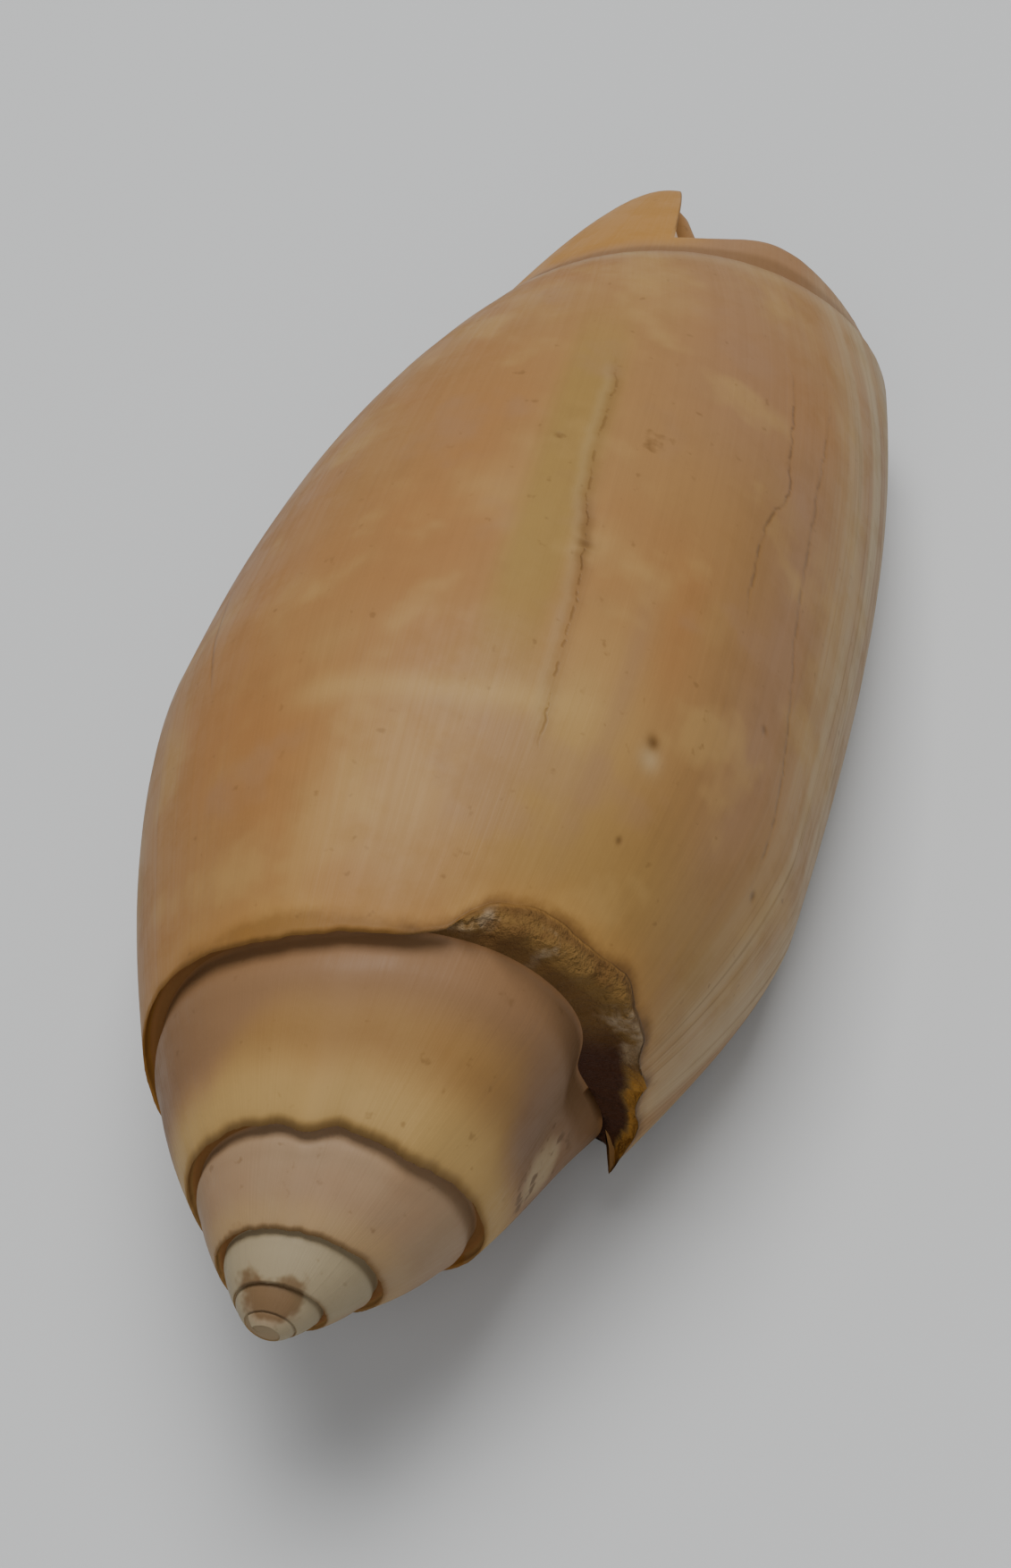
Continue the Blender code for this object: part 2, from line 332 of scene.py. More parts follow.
FLOOR, RIM, FOOT, CORNER, RING, EDGE, TIP = range(7)
HAIR = 0.0001
AXIS = (0, 1, 0)
CHANNEL_GROWTH = 0.65
APEX_WEAR_TURN = -3.7
APEX_WEAR_REACH = 0.7
APEX_WEAR_LEAST = 0.3
FRONT_LAG_CURVE = 8
BACK_CURVE = 1.53
FRONT_CURVE = 2.74
SPIRE_CURVE = 1.6
RING_TURN = -0.36
WRAP_START = -0.95
WRAP_END = -0.58
LIP_TUCK_TURN = 0.15
LIP_TUCK_REACH = 12 * MM
PILLAR_CURVE = 1.25
TIP_ROUNDNESS = 0.586
BAND_STEP = 0.25 * MM
BAND_STEP_SHARE = 0.04
NOTCH_TURN = -0.28
NOTCH_SHARE = 0.183
NOTCH_SCOOP = 0.3
FREE_TAPER = 0.4
FREE_TURNS = 0.08
FREE_RISE = 0.8 * MM
FREE_RISE_TURN = -0.19
FREE_RISE_WIDTH = 0.06
FOLD_SPACING = 2.9
FOLD_SLANT = 16
FOLD_HEIGHT = 0.16 * MM
FOLDS_FROM_TURN = -1.12
FOLDS_TO_TURN = -0.78
FOLDS_FROM_ALONG = 33
GROWTH_LINE_SCALE = 55
GROWTH_SWELL_SCALE = 9
RIM_WAVE_SCALE = 13
RIM_CHIP_SCALE = 48
CRUST_SCALE = 900
CRUST_HEIGHT = 1.8 * MM
CRUST_EASE = 0.03
SHOULDER_TURN = -1.02
SHOULDER_ROW = 1.74
SHOULDER_WIDTH = 0.08
SHOULDER_RISE = 0.25 * MM
SHOULDER_FOOT_ROW = 1.92
SHOULDER_FOOT_WIDTH = 0.07
SHOULDER_SINK = 0.1 * MM
RIM_PINCH = 1.3 * MM
RIM_PINCH_TURN = -0.09
RIM_PINCH_WIDTH = 0.07
CANAL_START = -0.28
CANAL_END = -0.09
CALLUS_START = -0.11
CALLUS_CURVE = 4

# Where the seam strays from its rule: middle and width in turns, and height
SEAM_WAVES = ((-0.40, 0.07, -0.6 * MM), (-1.35, 0.018, -0.30 * MM), (-1.315, 0.012, 0.12 * MM),
              (-1.235, 0.03, -0.28 * MM))
SEAT = 1.0 * MM
HOLLOW_TAPER = 0.12
HOLLOW_CORNER = 0.08
HOLLOW_FRONT = 0.8
NOTCH_OPENING = 0.06
WELD = 0.002 * MM

# How much of the rim is missing beside the lip, in millimetres, by growth count
BREAK = [(-0.33, 0.0), (-0.308, 0.2), (-0.292, 1.2), (-0.275, 1.9), (-0.25, 2.15), (-0.22, 1.85),
         (-0.20, 1.9), (-0.175, 1.3), (-0.15, 1.0), (-0.13, 0.5), (-0.10, 0.8), (-0.075, 0.3),
         (-0.05, 0.6), (-0.025, 0.2), (0.0, -0.3)]


class Rule:
    """The coiling rule's sizes as fields of one tree."""

    def __init__(self, group):
        for name, prop in ShellForm.bl_rna.properties.items():
            if name in ShellForm.__annotations__:
                value = getattr(bpy.context.scene.shell_form, name)
                setattr(self, name, group.takes(prop.name, value=value))

    def passed(self):
        """Every size, by the name of its input."""
        names = ShellForm.__annotations__
        return {ShellForm.bl_rna.properties[name].name: getattr(self, name) for name in names}

    def seam(self, turn):
        along = self.seam_along * self.growth_along ** turn
        for middle, width, height in SEAM_WAVES:
            along = along + hump(turn, middle, width) * height
        pinch = hump(turn, RIM_PINCH_TURN, RIM_PINCH_WIDTH) * RIM_PINCH
        return along, self.seam_radius * self.growth_radius ** turn - pinch

    def size(self, turn):
        worn = blend(APEX_WEAR_LEAST, 1, ramp(turn, APEX_WEAR_TURN, APEX_WEAR_REACH))
        return self.growth_radius ** (CHANNEL_GROWTH * least(turn, 0)) * worn

    def lump(self, turn):
        return self.callus * ease(1 - least(turn, 0) / CALLUS_START)

    def channel_foot(self, turn):
        along, radius = self.seam(turn)
        canal = self.canal_width * ramp(turn, CANAL_START, CANAL_END - CANAL_START)
        radius = radius - self.channel_width * self.size(turn) - canal + self.lump(turn)
        return along + self.channel_depth * self.size(turn), radius

    def wrapped(self, turn):
        return ramp(turn, WRAP_START, WRAP_END - WRAP_START)

    def lag(self, along):
        reach = most((along - self.seam_along) / (self.ring_along - self.seam_along), 0)
        return self.growth_lag * reach + self.front_lag * reach ** FRONT_LAG_CURVE

    def ring(self, turn):
        return self.ring_along + self.ring_slant * (turn - RING_TURN) * self.wrapped(turn)

    def radius_at(self, turn, along):
        start, rim = self.seam(turn)
        end, _ = self.channel_foot(turn + 1)
        _, end_radius = self.channel_foot(least(turn + 1, 0))
        x = clip((along - start) / (end - start))
        y = most((along - end) / (self.ring_along - end), 0)
        lump = self.lump(turn + 1)
        spire = rim + (end_radius - lump - rim) * (1 - (1 - x) ** SPIRE_CURVE) + lump * x ** CALLUS_CURVE
        pillar = (self.pillar_radius - end_radius) * y ** PILLAR_CURVE

        belly = self.belly_radius * self.belly_growth ** turn
        ring = self.ring_radius * self.ring_growth ** turn
        x = clip((along - start) / (self.belly_along - start))
        y = most((along - self.belly_along) / (self.ring(turn) - self.belly_along), 0)
        body = belly - (belly - rim) * (1 - x) ** BACK_CURVE - (belly - ring) * y ** FRONT_CURVE
        tuck_reach = (along - start) / LIP_TUCK_REACH
        tuck = ease(1 + turn / LIP_TUCK_TURN) * calc("EXPONENT", tuck_reach * tuck_reach * -1)
        return blend(spire + pillar, body - self.lip_tuck * tuck, self.wrapped(turn))

    def polar(self, turn, along, radius):
        turned = self.lip_angle + turn * 2 * math.pi
        return vector(radius * calc("SINE", turned), along, radius * calc("COSINE", turned))


def whorl_group():
    """Point of the outer surface, by growth count and row."""
    group = Group("Whorl point", "GeometryNodeTree")
    turn = group.takes("Turn")
    row = group.takes("Row")
    rule = Rule(group)
    start, _ = rule.seam(turn)
    size = rule.size(turn)
    inner_turn = least(turn + 1, 0)
    foot, _ = rule.channel_foot(inner_turn)
    floor, floor_radius = rule.channel_foot(turn)
    corner = foot + SEAT * rule.size(inner_turn)
    ring = rule.ring(turn)

    # The rim is uneven all the way, and broken beside the lip
    waves = noise(turn, RIM_WAVE_SCALE, 2, 0.5, flat=True)
    ragged = (waves + noise(turn, RIM_CHIP_SCALE, 3, 0.6, flat=True) - 1) * 2
    broken = curve(turn, BREAK) * MM
    worn = ramp(turn, BREAK[0][0], CRUST_EASE)
    crest = start + rule.chipping * size * ragged + broken
    crest_radius = rule.radius_at(turn, crest)
    swing = clip(row) * (math.pi / 2)
    rise = calc("SINE", swing) ** 0.5
    fall = most(calc("COSINE", swing), 0) ** 0.5
    curl_along = crest + (floor - crest) * fall
    curl_radius = floor_radius + (crest_radius - floor_radius) * rise
    curl = rule.polar(turn, curl_along, curl_radius)
    rough = (noise(curl, CRUST_SCALE, 4, 0.65) - 0.5) * CRUST_HEIGHT * worn * rise * fall
    curl = rule.polar(turn, curl_along - rough, curl_radius + rough)

    along = blend(crest, foot, clip(row - RIM))
    along = blend(along, corner, clip(row - FOOT))
    along = blend(along, ring, clip(row - CORNER))
    lagged = turn - rule.lag(along)
    free = clip((row - RIM) * 4) * clip((FOOT - row) * 4 + (turn + 1) / 0.03)
    lines = noise(turn, GROWTH_LINE_SCALE, 3, 0.65, flat=True) - 0.5
    swell = noise(turn, GROWTH_SWELL_SCALE, 1, 0.5, flat=True) - 0.5
    radius = rule.radius_at(lagged, along) + rule.ripple * (lines * 2 + swell * 3) * free
    folded = ramp(turn, FOLDS_FROM_TURN, 0.06) * ramp(turn, FOLDS_TO_TURN, -0.08)
    folded = folded * ramp(along / MM, FOLDS_FROM_ALONG, 8)
    fold = calc("SINE", (along / MM + turn * FOLD_SLANT) * (2 * math.pi / FOLD_SPACING))
    radius = radius + fold * folded * FOLD_HEIGHT
    older = ramp(turn, SHOULDER_TURN, -0.03) * clip((FOOT - row) * 12)
    shoulder = hump(row, SHOULDER_ROW, SHOULDER_WIDTH) * SHOULDER_RISE
    shoulder = shoulder - hump(row, SHOULDER_FOOT_ROW, SHOULDER_FOOT_WIDTH) * SHOULDER_SINK
    radius = radius + shoulder * older * size
    side = rule.polar(lagged, along, radius)

    # The wrapped band closes on the tip
    share = clip(row - RING) * NOTCH_SHARE + clip(row - EDGE) * (1 - NOTCH_SHARE)
    step = BAND_STEP * ease(share / (NOTCH_SHARE * BAND_STEP_SHARE)) * (1 - share)
    tip = vector(rule.tip_offset * calc("SINE", rule.tip_angle), rule.tip_along,
                 rule.tip_offset * calc("COSINE", rule.tip_angle))
    outward = rule.polar(lagged, 0, step)
    parted = ramp(turn, NOTCH_TURN, FREE_TURNS)
    shrink = most(1 - share * (1 - parted * FREE_TAPER), 0) ** TIP_ROUNDNESS
    rise = hump(turn, FREE_RISE_TURN, FREE_RISE_WIDTH) * parted * share * (FREE_RISE / NOTCH_SHARE)
    cone = arrows("SUBTRACT", between(tip, side, shrink), outward)
    cone_x, _, cone_z = parts_of(cone)
    cone = vector(cone_x, blend(along, rule.tip_along, share) + rise, cone_z)

    point = between(curl, side, beyond(row, RIM - HAIR))
    point = between(point, cone, beyond(row, RING + HAIR))
    reached = blend(curl_along, along, beyond(row, RIM - HAIR))
    group.gives("Point", point, "NodeSocketVector")
    group.gives("Along", blend(reached, rule.tip_along, share) / MM)
    return group


def hollow_group(whorl):
    """Point of the last whorl's inner face, by growth count and row."""
    group = Group("Hollow point", "GeometryNodeTree")
    turn = group.takes("Turn")
    row = group.takes("Row")
    depth = group.takes("Hollow turns")
    notch = group.takes("Notch turn")
    rule = Rule(group)
    outer = whorl.place(group.tree, Turn=turn, Row=row, **rule.passed())["Point"]
    inner = whorl.place(group.tree, Turn=turn - 1, Row=row, **rule.passed())["Point"]
    room = arrows("DISTANCE", outer, inner)
    wall = rule.wall * (1 - calc("EXPONENT", room / rule.wall * -1))
    corner = clip((row - CORNER) / HOLLOW_CORNER) ** 0.5
    deep = clip((turn + depth) / HOLLOW_TAPER) ** 0.5
    opening = ease((turn - notch) / NOTCH_OPENING)
    front = clip((EDGE - row) / HOLLOW_FRONT + opening) ** 0.5
    share = (1 - wall / most(room, 0.001 * MM)) * corner * deep * front
    group.gives("Point", between(inner, outer, share), "NodeSocketVector")
    group.gives("Outer", outer, "NodeSocketVector")
    group.gives("Inner", inner, "NodeSocketVector")
    return group


def ahead_of(point):
    """The way in which the shell grows at a point, level with its axis."""
    return arrows("NORMALIZE", arrows("CROSS_PRODUCT", AXIS, point))


def bulge(wide, share):
    """Height of a rounded edge over its width."""
    return wide / 2 * calc("SINE", share * math.pi)


class ShellTree:
    """The node tree that grows the whole shell from its sizes."""

    def __init__(self, fineness):
        self.steps = fineness.steps
        self.group = Group("Coiled shell", "GeometryNodeTree")
        self.tree = self.group.tree
        self.rule = Rule(self.group)
        self.whorl = whorl_group()
        self.hollow = hollow_group(self.whorl)
        self.notch = round(NOTCH_TURN * self.steps) / self.steps
        self.depth = round(fineness.hollow_turns * self.steps) / self.steps
        self.start = -round(fineness.spire_turns * self.steps) / self.steps
        self.sheets = []

    def node(self, kind, **inputs):
        node = self.tree.nodes.new(kind)
        for name, value in inputs.items():
            put(value, node.inputs[name.replace("_", " ")])
        return node

    def outer(self, turn, row):
        return self.whorl.place(self.tree, Turn=turn, Row=row, **self.rule.passed())

    def inner(self, turn, row):
        sizes = {"Hollow turns": self.depth, "Notch turn": self.notch, **self.rule.passed()}
        return self.hollow.place(self.tree, Turn=turn, Row=row, **sizes)

    def sheet(self, across, down, counts, shape, inside):
        """A grid over two ranges, laid on the shell by the function shape."""
        grid = self.node("GeometryNodeMeshGrid", Size_X=across[1] - across[0], Size_Y=down[1] - down[0])
        grid.inputs["Vertices X"].default_value = counts[0] + 1
        grid.inputs["Vertices Y"].default_value = counts[1] + 1
        x, y, _ = parts_of(Field(self.tree, self.tree.nodes.new("GeometryNodeInputPosition").outputs[0]))
        point, growth, zone = shape(x + (across[0] + across[1]) / 2, y + (down[0] + down[1]) / 2)
        last = Field(self.tree, grid.outputs["Mesh"])
        for name, value in (("growth", growth), ("zone", zone)):
            store = self.node("GeometryNodeStoreNamedAttribute", Geometry=last)
            store.data_type, store.domain = "FLOAT2", "CORNER"
            store.inputs["Name"].default_value = name
            put(value, store.inputs["Value"])
            last = Field(self.tree, store.outputs[0])
        mark = self.node("GeometryNodeStoreNamedAttribute", Geometry=last)
        mark.data_type, mark.domain = "BOOLEAN", "FACE"
        mark.inputs["Name"].default_value = "inside"
        mark.inputs["Value"].default_value = inside
        last = Field(self.tree, mark.outputs[0])
        place = self.node("GeometryNodeSetPosition", Geometry=last, Position=point)
        self.sheets.append(Field(self.tree, place.outputs[0]))

    def columns(self, turns):
        return round((turns[1] - turns[0]) * self.steps)

    def skin(self, turns, rows, lines):
        """A stretch of the outer surface."""
        def shape(turn, row):
            made = self.outer(turn, row)
            return made["Point"], vector(turn, made["Along"], 0), vector(row, 0, 0)
        self.sheet(turns, rows, (self.columns(turns), lines), shape, False)

    def lining(self, turns, rows, lines):
        """A stretch of the hollow's wall."""
        def shape(turn, row):
            made = self.inner(turn, row)
            along = self.outer(turn, row)["Along"]
            return made["Point"], vector(turn, along, 0), vector(row, 1, 0)
        self.sheet(turns, rows, (self.columns(turns), lines), shape, True)

    def lip(self, rows, lines, rounds):
        """The lip's rounded edge between the outer and the inner face."""
        def shape(row, share):
            made = self.inner(row * 0, row)
            wide = arrows("DISTANCE", made["Outer"], made["Point"])
            ahead = ahead_of(made["Outer"])
            bend = bulge(wide, share) * clip((row - CORNER) * 1000)
            last = beyond(row, EDGE - HAIR)
            ahead = arrows("NORMALIZE", arrows("ADD", ahead, arrows("SCALE", AXIS, scale=last)))
            first = beyond(CORNER + HAIR, row) * beyond(1 - HAIR, share)
            share = share * (1 - first)
            point = between(made["Outer"], made["Point"], share)
            along = self.outer(row * 0, row)["Along"]
            return (arrows("ADD", point, arrows("SCALE", ahead, scale=bend)),
                    vector(row * 0, along, 0), vector(row, share, 0))
        self.sheet(rows, (0, 1), (lines, rounds), shape, True)

    def free_edge(self, rounds):
        """The rounded edge of the last whorl at the front end."""
        def shape(turn, share):
            made = self.inner(turn, turn * 0 + EDGE)
            wide = arrows("DISTANCE", made["Outer"], made["Point"])
            ahead = ahead_of(made["Outer"])
            last = beyond(turn, -HAIR)
            forward = arrows("NORMALIZE", arrows("ADD", AXIS, arrows("SCALE", ahead, scale=last)))
            bend = bulge(wide, share)
            point = between(made["Outer"], made["Point"], share)
            along = self.outer(turn, turn * 0 + EDGE)["Along"]
            return (arrows("ADD", point, arrows("SCALE", forward, scale=bend)),
                    vector(turn, along, 0), vector(EDGE, share, 0))
        turns = (self.notch, 0)
        self.sheet(turns, (0, 1), (self.columns(turns), rounds), shape, True)

    def notch_wall(self, lines, rounds):
        """The scooped wall of the notch beside the tip."""
        def shape(row, share):
            made = self.inner(row * 0 + self.notch, row)
            wide = arrows("DISTANCE", made["Outer"], made["Inner"])
            ahead = ahead_of(made["Outer"])
            first = beyond(EDGE + HAIR, row)
            forward = between(arrows("SCALE", ahead, scale=-2 * NOTCH_SCOOP), AXIS, first)
            bend = bulge(wide, share)
            point = between(made["Outer"], made["Inner"], share)
            along = self.outer(row * 0 + self.notch, row)["Along"]
            return (arrows("ADD", point, arrows("SCALE", forward, scale=bend)),
                    vector(self.notch, along, 0), vector(row, share, 0))
        self.sheet((EDGE, TIP), (0, 1), (lines, rounds), shape, True)

    def grow(self, outer_skin, lining):
        """Lay every stretch, join them and give them their materials."""
        all_turns = (self.start, 0)
        outer_turns = (-1 - self.depth, 0)
        hollow_turns = (-self.depth, 0)
        side_lines, band_lines, tip_lines, rounds = 84, 12, 12, 6
        self.skin(all_turns, (FLOOR, RIM), 9)
        self.skin(all_turns, (RIM, FOOT), 18)
        self.skin((-1, 0), (FOOT, CORNER), 2)
        self.skin(outer_turns, (CORNER, RING), side_lines)
        self.skin(outer_turns, (RING, EDGE), band_lines)
        self.skin((self.notch - 1, self.notch), (EDGE, TIP), tip_lines)
        self.lining(hollow_turns, (CORNER, RING), side_lines)
        self.lining(hollow_turns, (RING, EDGE), band_lines)
        self.lip((CORNER, RING), side_lines, rounds)
        self.lip((RING, EDGE), band_lines, rounds)
        self.free_edge(rounds)
        self.notch_wall(tip_lines, rounds)
        join = self.tree.nodes.new("GeometryNodeJoinGeometry")
        for sheet in self.sheets:
            sheet.feed(join.inputs[0])
        weld = self.node("GeometryNodeMergeByDistance", Geometry=Field(self.tree, join.outputs[0]))
        weld.inputs["Distance"].default_value = WELD
        real = self.node("GeometryNodeRealizeInstances", Geometry=Field(self.tree, weld.outputs[0]))
        coat = self.node("GeometryNodeSetMaterial", Geometry=Field(self.tree, real.outputs[0]))
        coat.inputs["Material"].default_value = outer_skin
        inside = self.tree.nodes.new("GeometryNodeInputNamedAttribute")
        inside.data_type = "BOOLEAN"
        inside.inputs["Name"].default_value = "inside"
        coat = self.node("GeometryNodeSetMaterial", Geometry=Field(self.tree, coat.outputs[0]),
                         Selection=Field(self.tree, inside.outputs[0]))
        coat.inputs["Material"].default_value = lining
        self.group.gives("Geometry", Field(self.tree, coat.outputs[0]), "NodeSocketGeometry")
        return self.tree


APEX_RISE = 0.2 * MM

# How the shell lies on the floor
REST_ROLL = math.radians(2.79)
REST_PITCH = math.radians(-6.56)
REST_SHIFT = Vector((-0.487, -34.420, 13.384)) * MM


def rest_matrix():
    return (Matrix.Translation(REST_SHIFT) @ Matrix.Rotation(REST_PITCH, 4, "X")
            @ Matrix.Rotation(REST_ROLL, 4, "Y"))


def close_holes(mesh):
    """Close the apex and the small corner where the lip meets the seam."""
    edges = [edge for edge in mesh.edges if edge.is_boundary]
    made = bmesh.ops.holes_fill(mesh, edges=edges)["faces"]
    wide = [face for face in made if len(face.verts) > 4]
    middles = bmesh.ops.poke(mesh, faces=wide)["verts"]
    apex = min(middles, key=lambda vert: vert.co.y)
    apex.co.y -= APEX_RISE


def build_shell(scene):
    form = scene.shell_form
    effects = growth_lines_group(), grime_group()
    grown = ShellTree(scene.shell_fineness)
    tree = grown.grow(skin_material(scene, *effects), lining_material(scene, *effects))
    holder = bpy.data.objects.new("growing shell", bpy.data.meshes.new("growing shell"))
    scene.collection.objects.link(holder)
    grower = holder.modifiers.new("Coiled shell", "NODES")
    grower.node_group = tree
    for socket in tree.interface.items_tree:
        if socket.in_out == "INPUT":
            name = next(key for key, prop in ShellForm.bl_rna.properties.items() if prop.name == socket.name)
            grower[socket.identifier] = getattr(form, name)
    graph = bpy.context.evaluated_depsgraph_get()
    data = bpy.data.meshes.new_from_object(holder.evaluated_get(graph), depsgraph=graph)
    bpy.data.objects.remove(holder)

    mesh = bmesh.new()
    mesh.from_mesh(data)
    close_holes(mesh)
    bmesh.ops.recalc_face_normals(mesh, faces=mesh.faces[:])
    bmesh.ops.transform(mesh, matrix=rest_matrix(), verts=mesh.verts)
    for vert in mesh.verts:
        vert.co.z = max(vert.co.z, 0)
    loose = sum(edge.is_boundary or not edge.is_manifold for edge in mesh.edges)
    print("shell:", len(mesh.verts), "points,", sum(len(f.verts) - 2 for f in mesh.faces),
          "triangles,", loose, "open edges")
    mesh.to_mesh(data)
    mesh.free()
    data.name = "olive shell"
    data.shade_smooth()
    shell = bpy.data.objects.new("olive_shell", data)
    scene.collection.objects.link(shell)
    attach(shell, "root")
    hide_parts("shell")
    return shell


# Finishes

def new_material(name):
    material = bpy.data.materials.new(name)
    material.use_nodes = True
    return material, material.node_tree, material.node_tree.nodes["Principled BSDF"]


def uv_parts(tree, name):
    node = tree.nodes.new("ShaderNodeUVMap")
    node.uv_map = name
    return parts_of(Field(tree, node.outputs["UV"]))


def object_place(tree):
    return Field(tree, tree.nodes.new("ShaderNodeTexCoord").outputs["Object"])


def tint(tree, under, over, share):
    """Lay one colour over another."""
    node = tree.nodes.new("ShaderNodeMix")
    node.data_type = "RGBA"
    put(share, node.inputs["Factor"])
    for value, index in ((under, 6), (over, 7)):
        put(value if isinstance(value, Field) else (*value, 1), node.inputs[index])
    return Field(tree, node.outputs[2])


class Paint:
    """A colour built up in layers."""

    def __init__(self, tree, colour):
        self.tree = tree
        self.colour = colour

    def lay(self, colour, share):
        self.colour = tint(self.tree, self.colour, colour, share)

    def lay_patches(self, tones, turn, along, patches):
        """Lay patches by their stretch in turns and their stretch along the shell."""
        for name, across, down, strength in patches:
            share = across[0](turn, *across[1:]) * down[0](along, *down[1:])
            self.lay(getattr(tones, name), share * strength)


def window(a, low, high, soft):
    """1 between two places, with soft ends."""
    return ease((a - low) / soft + 0.5) * ease((high - a) / soft + 0.5)


def spot(turn, along, at_turn, at_along, size):
    """A round spot on the last whorl, its size in millimetres."""
    x = (turn - at_turn) * WHORL_GIRTH
    y = along - at_along
    return calc("EXPONENT", (x * x + y * y) / (-size * size))


def near(place, middle, size):
    """1 at a point of the shell, falling off over its size, both in millimetres."""
    gap = arrows("DISTANCE", place, tuple(x * MM for x in middle)) / (size * MM)
    return calc("EXPONENT", gap * gap * -1)


def crack(turn, along, line, width, soft=3):
    """A dark line that follows the growth lines through points of place and growth count."""
    low, high = line[0][0], line[-1][0]
    offset = (turn - curve(along, line)) / width
    return calc("EXPONENT", offset * offset * -1) * window(along, low + soft / 2, high - soft / 2, soft)


def growth_lines_group():
    """Fine lines and faint streaks along the old positions of the lip."""
    group = Group("Growth lines", "ShaderNodeTree")
    turn = group.takes("Turn")
    along = group.takes("Along")
    grain = vector(turn * 260, along * 0.05, 0)
    broad = vector(turn * 55, along * 0.03, 3)
    fine = noise(grain, 1, 3, 0.65)
    streak = noise(broad, 1, 2, 0.5)
    group.gives("Height", fine + streak * 0.8)
    group.gives("Streak", ease(streak * 3 - 1))
    group.gives("Fine", ease(fine * 3 - 1))
    return group


def grime_group():
    """Small dark specks and cloudy dirt."""
    group = Group("Grime", "ShaderNodeTree")
    place = group.takes("Place", "NodeSocketVector")
    group.gives("Cloud", ease(noise(place, 420, 4, 0.6) * 4 - 1.7))
    group.gives("Speck", ease(noise(place, 1500, 2, 0.5) * 9 - 6.1))
    return group


# Length of one turn of the last whorl, in millimetres
WHORL_GIRTH = 94

# Lines on the last whorl, each point a place along the axis in millimetres and a growth count
SCAR = [(20.0, -0.2900), (22.4, -0.2916), (24.7, -0.2938), (27.4, -0.2943), (31.5, -0.2975), (33.9, -0.3020),
        (37.4, -0.3050), (41.9, -0.3050), (43.4, -0.3066), (44.6, -0.3170)]
SIDE_CRACK = [(32.5, -0.2118), (37.1, -0.2128), (39.7, -0.2085), (41.3, -0.2018), (44.4, -0.2037),
              (48.6, -0.2037), (50.2, -0.2200)]
EDGE_LINE = [(22.0, -0.1500), (29.3, -0.1651), (39.3, -0.1812), (50.3, -0.1710)]
LEFT_LINE = [(22.0, -0.4700), (31.5, -0.5000)]

# Pits of the last whorl: growth count, place along the axis and size in millimetres, and depth
PITS = [(-0.2407, 23.9, 0.32, 1), (-0.2975, 31.5, 0.4, 1), (-0.237, 19.6, 0.17, 0.8),
        (-0.1839, 28.8, 0.2, 0.6), (-0.148, 22.9, 0.22, 0.7), (-0.3243, 37.5, 0.2, 0.6)]
CHIP = (-0.2396, 23.2, 0.55)

# A pale band that runs round the last whorl, each point a growth count and a place along the axis
PALE_BAND = [(-0.42, 21.2), (-0.38, 21.8), (-0.34, 22.2), (-0.30, 23.0), (-0.27, 23.6)]
PALE_BAND_WIDTH = 0.7

# Worn places of the spire, as the shell lies, in millimetres
WORN_APEX = (-0.35, -33.1, 14.2)
WORN_CALLUS = (6.95, -22.9, 9.2)

# Where the rim is broken and crusted: first and last growth count, and softness
BROKEN_RIM = (-0.325, 0.01, 0.02)

# Patches of the last whorl: tone, stretch in turns, stretch along the axis in millimetres, strength
WARM_PATCHES = [
    ("amber", (hump, -0.365, 0.035), (window, 24, 43, 10), 0.55),
    ("amber", (hump, -0.43, 0.07), (hump, 19.5, 3.5), 0.6),
]
FADED_AND_PAINTED_SHADE_PATCHES = [
    ("straw", (hump, -0.275, 0.03), (hump, 22.5, 5), 0.65),
    ("straw", (hump, -0.345, 0.05), (hump, 18, 3.5), 0.5),
    ("mauve", (ramp, -0.42, -0.13), (ramp, 20, 12), 0.75),
    # These mauve and umber patches on the right side are partly the shell's mauve-brown and partly painted
    # shade on that side.
    ("mauve", (hump, -0.235, 0.045), (ramp, 36, 9), 0.6),
    ("umber", (hump, -0.2, 0.03), (window, 16, 42, 8), 0.25),
    ("mauve", (hump, -0.185, 0.022), (window, 16, 45, 8), 0.65),
    ("olive", (window, -0.332, -0.303, 0.015), (window, 25, 46, 9), 0.8),
    ("amber", (hump, -0.245, 0.012), (window, 26, 34, 5), 0.55),
    ("mauve", (hump, -0.262, 0.006), (window, 17, 30, 6), 0.4),
    ("olive", (window, -0.3, -0.12, 0.06), (hump, 18, 4), 0.5),
]

# Gloss and relief
SKIN_ROUGHNESS = 0.46
SKIN_SPECULAR = 0.18
LINING_ROUGHNESS = 0.3
LINING_SPECULAR = 0.4
RELIEF = 0.05 * MM


